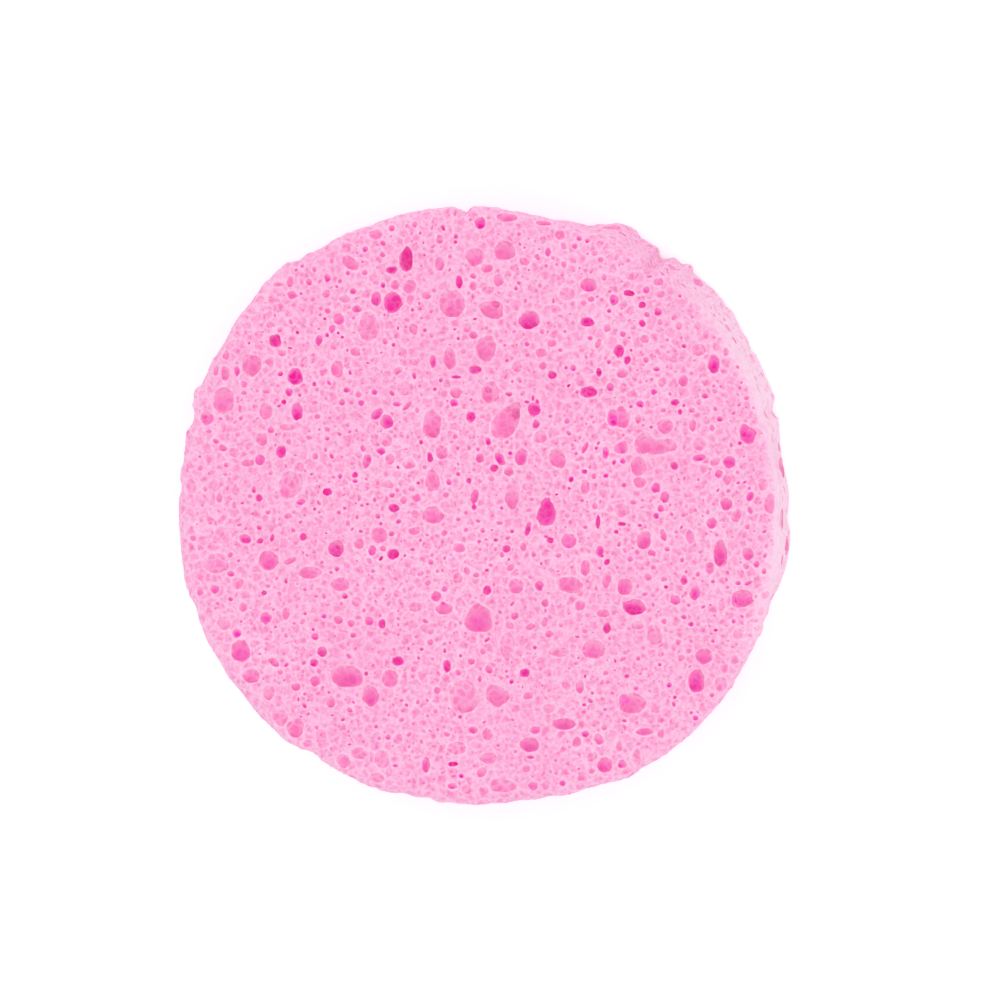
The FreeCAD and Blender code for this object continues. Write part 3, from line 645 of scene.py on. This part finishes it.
# Bubbles that would touch go into different rounds, so that each round is a set of separate solids.
most_rounds = 3
most_in_round = 9000
round_margin = 1.12
rounds = []
for cell in cells + windows:
    place, outward, along, half_width, half_length, depth, tone, taper = cell
    reach = max(half_width, half_length, depth, skin_height) * round_margin
    for held in rounds:
        places = held["places"][: held["count"]]
        reaches = held["reaches"][: held["count"]]
        if held["count"] == 0:
            break
        if (np.linalg.norm(places - place, axis=1) - reaches).min() > reach:
            break
    else:
        if len(rounds) == most_rounds:
            continue
        held = {"count": 0, "cells": []}
        held["places"] = np.zeros((most_in_round, 3))
        held["reaches"] = np.zeros(most_in_round)
        rounds.append(held)
    held["places"][held["count"]] = place
    held["reaches"][held["count"]] = reach
    held["count"] += 1
    held["cells"].append(cell)


def mark_faces(mesh, name, values):
    """A number on every face, which the cuts carry over to the faces that they leave."""
    mark = mesh.attributes.new(name, "FLOAT", "FACE")
    mark.data.foreach_set("value", values)


blank_normals = np.empty(len(sponge.data.polygons) * 3)
sponge.data.polygons.foreach_get("normal", blank_normals)
mark_faces(sponge.data, "upward", blank_normals.reshape(-1, 3)[:, 2])
for name in ("tone", "bowl", "low_shade"):
    mark_faces(sponge.data, name, np.zeros(len(sponge.data.polygons)))
for held in rounds:
    all_points = []
    all_corners = []
    marks = {"tone": [], "bowl": [], "low_shade": [], "upward": []}
    filled = 0
    for cell in held["cells"]:
        solid, corners = bubble(cell, draw)
        all_points.append(solid)
        all_corners.append(corners + filled)
        filled += len(solid)
        marks["tone"] += [cell[6]] * len(corners)
        marks["bowl"] += [cell[5] / MM] * len(corners)
        marks["upward"] += [cell[1][2]] * len(corners)
        # Painted shade: each bowl is marked darker towards its lower end, the front ones towards
        # the bottom of the picture.
        place, outward, along, half_width, half_length = cell[:5]
        downward = 1 if outward[2] > level_facing else 2
        fall = (place[downward] - solid[corners].mean(axis=1)[:, downward]) / half_length
        marks["low_shade"] += (1.0 + np.clip(fall, -1.0, 1.0)).tolist()
    mesh = bpy.data.meshes.new("bubbles")
    mesh.from_pydata(np.vstack(all_points).tolist(), [], np.vstack(all_corners).tolist())
    for name, values in marks.items():
        mark_faces(mesh, name, values)
    bubbles = bpy.data.objects.new("bubbles", mesh)
    bpy.context.collection.objects.link(bubbles)
    cut = sponge.modifiers.new("open_cells", "BOOLEAN")
    cut.operation = "DIFFERENCE"
    cut.solver = "MANIFOLD"
    cut.object = bubbles
    apply_modifier(sponge, cut)
    bpy.data.objects.remove(bubbles, do_unlink=True)
    bpy.data.meshes.remove(mesh)

# Crumbs that two cells cut free fall out, and so does any cell that opens nowhere.
skin_softening = 0.35
bpy.context.view_layer.objects.active = sponge
sponge.select_set(True)
bpy.ops.object.mode_set(mode="EDIT")
bpy.ops.mesh.select_mode(type="VERT")
bpy.ops.mesh.select_all(action="DESELECT")
bpy.ops.object.mode_set(mode="OBJECT")
points = read_points(sponge)
outermost = int(np.argmax(np.hypot(points[:, 0], points[:, 1])))
sponge.data.vertices[outermost].select = True
bpy.ops.object.mode_set(mode="EDIT")
bpy.ops.mesh.select_linked()
bpy.ops.mesh.select_all(action="INVERT")
bpy.ops.mesh.delete(type="VERT")
bpy.ops.mesh.select_all(action="SELECT")
bpy.ops.mesh.quads_convert_to_tris()
bpy.ops.mesh.vertices_smooth(factor=skin_softening, repeat=1)
bpy.ops.object.mode_set(mode="OBJECT")
bpy.ops.object.select_all(action="DESELECT")

# Painted shade in the cells: nothing on the cut skin, and down in each bowl the cell's own tone,
# darker the deeper the spot and towards the bowl's lower end.
# The skin's last points before a cell are the thin torn rims, which get a painted highlight as they
# catch and let through the light.
rim_reach = 0.28 * MM
rim_tone_share = 0.34
depth_shade_gain = 0.90
low_shade_gain = 0.16
inner_rim_share = 0.55
rimless_depth_mm = 0.08
rim_rise_mm = 0.16
shallowest_mm = 0.05
deepest_tone = 5.6
lit_wall_heading = math.radians(10.0)
lit_wall_cosines = (0.72, 0.97)
least_wall_light = 0.12
wall_light_start = 0.965
wall_light_rise = 0.04
points = read_points(sponge)
depths = np.array([blank_tree.find_nearest(Vector(point))[3] for point in points]) / MM
corner_count = len(sponge.data.loops)
corners = np.empty(corner_count, dtype=int)
sponge.data.loops.foreach_get("vertex_index", corners)


def spread_to_points(name):
    """The highest number among the faces around each point."""
    on_faces = np.empty(len(sponge.data.polygons))
    sponge.data.attributes[name].data.foreach_get("value", on_faces)
    at_points = np.zeros(len(points))
    np.maximum.at(at_points, corners, np.repeat(on_faces, 3))
    return at_points


tone_at = spread_to_points("tone")
bowl_at = np.maximum(spread_to_points("bowl"), shallowest_mm)
low_shade_at = spread_to_points("low_shade") - 1.0
face_tone = np.empty(len(sponge.data.polygons))
sponge.data.attributes["tone"].data.foreach_get("value", face_tone)
touches_skin = np.zeros(len(points))
np.maximum.at(touches_skin, corners, np.repeat((face_tone == 0).astype(float), 3))
sunk = np.clip(depths / bowl_at, 0.0, 1.0)
bowl_shade = rim_tone_share + depth_shade_gain * sunk + low_shade_gain * low_shade_at
hollow_shade = np.where(touches_skin > 0.5, 0.0, tone_at / deepest_tone * bowl_shade)
# Painted highlight on the cell rims, spread a short way over the skin and fainter inside the cell.
rim_light = np.clip((bowl_at - rimless_depth_mm) / rim_rise_mm, 0.0, 1.0)
rim_light *= (touches_skin > 0.5) & (tone_at > 0.5)
edges = np.empty(len(sponge.data.edges) * 2, dtype=int)
sponge.data.edges.foreach_get("vertices", edges)
first, second = edges.reshape(-1, 2).T
length = np.linalg.norm(points[first] - points[second], axis=1)
near = length < rim_reach
halo = rim_light.copy()
for start, end in ((first, second), (second, first)) * 2:
    passed = halo[start] - length / rim_reach
    np.maximum.at(halo, end[near], passed[near])
rim_light = np.where(touches_skin > 0.5, halo, inner_rim_share * halo)
# Painted light: the wall on the side where the light falls, towards the right, is painted paler,
# fading in near the outline.
out_from_middle = np.hypot(points[:, 0], points[:, 1]) / punch_radius
toward_light = np.cos(np.arctan2(points[:, 1], points[:, 0]) - lit_wall_heading)
least_cosine, full_cosine = lit_wall_cosines
facing = np.clip((toward_light - least_cosine) / (full_cosine - least_cosine), 0.0, 1.0)
painted_wall_light = least_wall_light + (1.0 - least_wall_light) * facing
painted_wall_light *= np.clip((out_from_middle - wall_light_start) / wall_light_rise, 0.0, 1.0)
for name, values in (("hollow_shade", hollow_shade), ("rim_highlight", rim_light), ("painted_wall_light", painted_wall_light)):
    mark = sponge.data.attributes.new(name, "FLOAT", "POINT")
    mark.data.foreach_set("value", values)
face_upward = np.empty(len(sponge.data.polygons))
sponge.data.attributes["upward"].data.foreach_get("value", face_upward)
for name in ("tone", "bowl", "low_shade", "upward"):
    sponge.data.attributes.remove(sponge.data.attributes[name])

grain_lift = 0.035 * MM
fine_grain = 0.45 * MM
coarse_grain = 1.1 * MM
coarse_grain_share = 0.7
crease_angle = math.radians(55.0)
grain = waves(points, fine_grain, seed=21, count=20)
grain += coarse_grain_share * waves(points, coarse_grain, seed=22, count=20)
normals = np.empty(len(points) * 3)
sponge.data.vertices.foreach_get("normal", normals)
points += normals.reshape(-1, 3) * (grain * grain_lift)[:, None]
points[:, 2] = np.clip(points[:, 2], disc_low[2], disc_high[2])
write_points(sponge, points)

# The piece's own map: the front laid out large, the back smaller, and the wall as two flat strips.
face_turn = 0.65
map_reach = 38.6 * MM
front_map_middle = (0.345, 0.345)
front_map_radius = 0.34
back_map_middle = (0.812, 0.592)
back_map_radius = 0.18
strip_length = 0.97
strip_height = 0.0985
strip_feet = (0.789, 0.894)
spread = points[corners]
upward = np.repeat(face_upward, 3)
middles = np.repeat(spread.reshape(-1, 3, 3).mean(axis=1), 3, axis=0)
middle_heading = np.arctan2(middles[:, 1], middles[:, 0])
heading = np.arctan2(spread[:, 1], spread[:, 0]) - middle_heading
heading = (heading + math.pi) % (2.0 * math.pi) - math.pi + middle_heading
far_half = np.abs(middle_heading) > math.pi / 2.0
half_middle = np.where(far_half, np.sign(middle_heading) * math.pi, 0.0)
half_heading = heading - half_middle
places = np.empty((len(corners), 2))
places[:, 0] = 0.5 + half_heading / math.pi * strip_length
strip_foot = np.where(far_half, strip_feet[1], strip_feet[0])
places[:, 1] = strip_foot + spread[:, 2] / slab_thickness * strip_height
front_scale = front_map_radius / map_reach
back_scale = back_map_radius / map_reach
on_front_map = np.array(front_map_middle) + spread[:, :2] * front_scale
on_back_map = np.array(back_map_middle) + spread[:, :2] * (-back_scale, back_scale)
places = np.where((upward > face_turn)[:, None], on_front_map, places)
places = np.where((upward < -face_turn)[:, None], on_back_map, places)
sponge.data.uv_layers.new(name="OFBake")
sponge.data.uv_layers["OFBake"].data.foreach_set("uv", places.ravel())
bpy.context.view_layer.objects.active = sponge
sponge.select_set(True)
bpy.ops.object.shade_smooth_by_angle(angle=crease_angle)
bpy.ops.object.select_all(action="DESELECT")

# The cellulose is dyed right through, soft and dull; its colour also carries painted light: pale
# painted highlights on the thin rims and hot pink painted shade deep in the cells.
# Finer pores than the mesh holds, a felted grain and a few darker fibres cover all of it.
cellulose = bpy.data.materials.new("pink_cellulose")
cellulose.use_nodes = True
nodes = cellulose.node_tree.nodes
links = cellulose.node_tree.links
shader = nodes["Principled BSDF"]
sponge_place = nodes.new("ShaderNodeTexCoord")


def noise_node(per_metre, detail, rough=0.5):
    noise = nodes.new("ShaderNodeTexNoise")
    noise.inputs["Scale"].default_value = per_metre
    noise.inputs["Detail"].default_value = detail
    noise.inputs["Roughness"].default_value = rough
    links.new(sponge_place.outputs["Object"], noise.inputs["Vector"])
    return noise.outputs["Fac"]


def sum_node(operation, first, second):
    node = nodes.new("ShaderNodeMath")
    node.operation = operation
    for socket, value in zip(node.inputs, (first, second)):
        if isinstance(value, (int, float)):
            socket.default_value = value
        else:
            links.new(value, socket)
    return node.outputs["Value"]


def range_node(value, low, high, to_low=0.0, to_high=1.0):
    node = nodes.new("ShaderNodeMapRange")
    node.inputs["From Min"].default_value = low
    node.inputs["From Max"].default_value = high
    node.inputs["To Min"].default_value = to_low
    node.inputs["To Max"].default_value = to_high
    links.new(value, node.inputs["Value"])
    return node.outputs["Result"]


def attribute_node(name):
    node = nodes.new("ShaderNodeAttribute")
    node.attribute_name = name
    return node.outputs["Fac"]


def blend_node(amount, under, over):
    node = nodes.new("ShaderNodeMix")
    node.data_type = "RGBA"
    links.new(amount, node.inputs["Factor"])
    links.new(under, node.inputs[6])
    node.inputs[7].default_value = over
    return node.outputs[2]


def sight(red, green, blue):
    """A colour as the eye meets it, 0 to 255, as the shader's own linear values."""
    linear = []
    for channel in (red, green, blue):
        share = channel / 255.0
        linear.append(share / 12.92 if share <= 0.04045 else ((share + 0.055) / 1.055) ** 2.4)
    return (*linear, 1.0)


warp_reach = 0.60 * MM
warp = noise_node(per_metre=1300.0, detail=2.0).node
warp_step = nodes.new("ShaderNodeVectorMath")
warp_step.operation = "MULTIPLY_ADD"
warp_step.inputs[1].default_value = (warp_reach, warp_reach, warp_reach)
links.new(warp.outputs["Color"], warp_step.inputs[0])
links.new(sponge_place.outputs["Object"], warp_step.inputs[2])


def pore_nodes(per_metre, edge, middle, least_luck):
    """Pores of one size, as a mask: full in a pore's middle, and fainter where luck is low."""
    grid = nodes.new("ShaderNodeTexVoronoi")
    grid.inputs["Scale"].default_value = per_metre
    links.new(warp_step.outputs["Vector"], grid.inputs["Vector"])
    parts = nodes.new("ShaderNodeSeparateColor")
    links.new(grid.outputs["Color"], parts.inputs["Color"])
    inside = range_node(grid.outputs["Distance"], edge, middle)
    return sum_node("MULTIPLY", inside, range_node(parts.outputs["Red"], least_luck, 1.0))


fine_pores = pore_nodes(per_metre=1700.0, edge=0.62, middle=0.24, least_luck=0.10)
wide_pores = pore_nodes(per_metre=900.0, edge=0.56, middle=0.20, least_luck=0.05)
specks = pore_nodes(per_metre=2300.0, edge=0.46, middle=0.16, least_luck=0.70)
web = nodes.new("ShaderNodeTexVoronoi")
web.feature = "DISTANCE_TO_EDGE"
web.inputs["Scale"].default_value = 850.0
links.new(warp_step.outputs["Vector"], web.inputs["Vector"])
strands = range_node(web.outputs["Distance"], 0.22, 0.03)
felt = noise_node(per_metre=2300.0, detail=2.0, rough=0.55)
clump = noise_node(per_metre=900.0, detail=3.0, rough=0.6)
patch = noise_node(per_metre=90.0, detail=2.0)

# Painted shade: the ramp runs from the skin's pink to a hot, dark pink as a spot lies deeper in a
# darker cell.
hollow_shade_ramp = nodes.new("ShaderNodeValToRGB")
ramp = hollow_shade_ramp.color_ramp
hollow_shade_stops = [
    (0.0, sight(255, 172, 216)),
    (1.0 / deepest_tone, sight(255, 140, 201)),
    (2.0 / deepest_tone, sight(255, 130, 199)),
    (3.0 / deepest_tone, sight(255, 129, 204)),
    (4.0 / deepest_tone, sight(255, 106, 205)),
    (5.0 / deepest_tone, sight(255, 30, 204)),
    (1.0, sight(255, 10, 188)),
]
ramp.elements[0].position, ramp.elements[0].color = hollow_shade_stops[0]
ramp.elements[1].position, ramp.elements[1].color = hollow_shade_stops[-1]
for position, colour in hollow_shade_stops[1:-1]:
    stop = ramp.elements.new(position)
    stop.color = colour
hollow_shade_share = attribute_node("hollow_shade")
wander = sum_node("MULTIPLY", sum_node("SUBTRACT", clump, 0.5), 0.30)
links.new(sum_node("ADD", hollow_shade_share, wander), hollow_shade_ramp.inputs["Fac"])
colour = hollow_shade_ramp.outputs["Color"]

# From here on each finish lies over the last: how much of it shows, then its own colour.
on_skin = range_node(hollow_shade_share, 0.5, 0.0, to_low=0.30, to_high=1.0)
pore_mask = sum_node("MAXIMUM", fine_pores, wide_pores)
dark_felt = range_node(felt, 0.52, 0.68)
pale_felt = range_node(felt, 0.45, 0.30)
skin_finishes = [
    # The pores' darker pink is painted shade of pits that only the bump gives depth.
    (pore_mask, 0.95, sight(246, 112, 180)),
    (strands, 0.65, sight(255, 210, 236)),
    (dark_felt, 0.50, sight(243, 146, 197)),
    (pale_felt, 0.44, sight(255, 212, 237)),
    (specks, 0.60, sight(222, 158, 194)),
]
for mask, strength, finish in skin_finishes:
    amount = sum_node("MULTIPLY", sum_node("MULTIPLY", mask, on_skin), strength)
    colour = blend_node(amount, colour, finish)
# Painted highlight: a pale ring on the cell rims, where the thin edges catch the light and let it
# through.
rim_light_amount = range_node(attribute_node("rim_highlight"), 0.15, 0.85, to_high=0.54)
colour = blend_node(rim_light_amount, colour, sight(255, 212, 238))
patch_amount = range_node(patch, 0.35, 0.70, to_high=0.25)
colour = blend_node(patch_amount, colour, sight(250, 160, 208))
# Painted light on the right-hand wall, weaker down in the cells.
wall_light_share = range_node(hollow_shade_share, 0.0, 0.6, to_low=0.68, to_high=0.18)
wall_light_amount = sum_node("MULTIPLY", attribute_node("painted_wall_light"), wall_light_share)
colour = blend_node(wall_light_amount, colour, sight(255, 226, 242))
links.new(colour, shader.inputs["Base Color"])

bump_depth = 0.10 * MM
felt_height = sum_node("MULTIPLY", felt, 0.5)
pore_depth = sum_node("MULTIPLY", pore_mask, 0.9)
clump_height = sum_node("MULTIPLY", clump, 0.7)
height_sum = sum_node("ADD", sum_node("SUBTRACT", felt_height, pore_depth), clump_height)
bump = nodes.new("ShaderNodeBump")
bump.inputs["Strength"].default_value = 0.5
bump.inputs["Distance"].default_value = bump_depth
links.new(height_sum, bump.inputs["Height"])
links.new(bump.outputs["Normal"], shader.inputs["Normal"])
roughness = range_node(clump, 0.3, 0.7, to_low=0.86, to_high=0.98)
links.new(roughness, shader.inputs["Roughness"])
shader.inputs["Specular IOR Level"].default_value = 0.22
shader.inputs["Subsurface Weight"].default_value = 0.20
shader.inputs["Subsurface Radius"].default_value = (1.0, 0.28, 0.55)
shader.inputs["Subsurface Scale"].default_value = 1.2 * MM
shader.inputs["Sheen Weight"].default_value = 0.08
shader.inputs["Sheen Roughness"].default_value = 0.5

sponge.data.materials.clear()
sponge.data.materials.append(cellulose)
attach(sponge, "root")
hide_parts("sponge_disc")

# The plain pale floor that the sponge lies on, and the white studio around it.
floor_half = 2.0
bpy.ops.mesh.primitive_plane_add(size=floor_half * 2.0, location=(0, 0, 0))
studio_floor = bpy.context.object
studio_floor.name = "studio_floor"
floor_white = bpy.data.materials.new("floor_white")
floor_white.use_nodes = True
floor_nodes = floor_white.node_tree.nodes
floor_links = floor_white.node_tree.links
floor_shader = floor_nodes["Principled BSDF"]
floor_shader.inputs["Base Color"].default_value = (0.90, 0.90, 0.90, 1.0)
floor_shader.inputs["Roughness"].default_value = 0.9
floor_shader.inputs["Specular IOR Level"].default_value = 0.1
floor_glow = floor_nodes.new("ShaderNodeEmission")
floor_glow.inputs["Strength"].default_value = 0.28
floor_sum = floor_nodes.new("ShaderNodeAddShader")
floor_pick = floor_nodes.new("ShaderNodeMixShader")


def seen_rays(tree):
    """One for rays that meet the eye, straight or by way of gloss or glass, and else nothing."""
    path = tree.nodes.new("ShaderNodeLightPath")
    seen = path.outputs["Is Camera Ray"]
    for name in ("Is Glossy Ray", "Is Transmission Ray"):
        either = tree.nodes.new("ShaderNodeMath")
        either.operation = "MAXIMUM"
        tree.links.new(seen, either.inputs[0])
        tree.links.new(path.outputs[name], either.inputs[1])
        seen = either.outputs["Value"]
    return seen


floor_links.new(floor_shader.outputs["BSDF"], floor_sum.inputs[0])
floor_links.new(floor_glow.outputs["Emission"], floor_sum.inputs[1])
floor_links.new(seen_rays(floor_white.node_tree), floor_pick.inputs["Fac"])
floor_links.new(floor_shader.outputs["BSDF"], floor_pick.inputs[1])
floor_links.new(floor_sum.outputs["Shader"], floor_pick.inputs[2])
floor_links.new(floor_pick.outputs["Shader"], floor_nodes["Material Output"].inputs["Surface"])
studio_floor.data.materials.append(floor_white)

studio = bpy.data.worlds.new("white_studio")
studio.use_nodes = True
bpy.context.scene.world = studio
studio_nodes = studio.node_tree.nodes
studio_links = studio.node_tree.links
studio_background = studio_nodes["Background"]
studio_background.inputs["Color"].default_value = (1.0, 1.0, 1.0, 1.0)
fill_light = 0.83
studio_level = studio_nodes.new("ShaderNodeMapRange")
studio_level.inputs["To Min"].default_value = fill_light
studio_level.inputs["To Max"].default_value = 1.0
studio_links.new(seen_rays(studio.node_tree), studio_level.inputs["Value"])
studio_links.new(studio_level.outputs["Result"], studio_background.inputs["Strength"])

# Three broad soft lamps: the key stands below the picture, one lights the sponge from beyond it,
# and a faint one from the right opens the shadow on the punched wall.
lamps = [
    ("key_lamp", (0.25, -0.72, 0.78), math.radians(50.0), 0.39),
    ("side_lamp", (-0.45, 0.70, 0.55), math.radians(60.0), 0.44),
    ("wall_lamp", (0.85, 0.40, 0.35), math.radians(60.0), 0.30),
]
for name, stand, softness, strength in lamps:
    lamp = bpy.data.lights.new(name, "SUN")
    lamp.angle = softness
    lamp.energy = strength
    holder = bpy.data.objects.new(name, lamp)
    bpy.context.collection.objects.link(holder)
    holder.location = stand
    holder.rotation_euler = Vector(stand).to_track_quat("Z", "Y").to_euler()

# The camera stands where the photograph was taken from.
frame_width = 1000.0 * pixel
nearest_seen = 0.01
lens = bpy.data.cameras.new("camera")
lens.sensor_width = 36.0
lens.lens = lens.sensor_width * camera_distance / frame_width
lens.clip_start = nearest_seen
eye = bpy.data.objects.new("camera", lens)
bpy.context.collection.objects.link(eye)
turn = Matrix((image_right, image_up, toward)).transposed()
eye.matrix_world = Matrix.Translation(eye_place) @ turn.to_4x4()
bpy.context.scene.camera = eye
bpy.context.scene.view_settings.view_transform = "Standard"

bpy.context.view_layer.update()
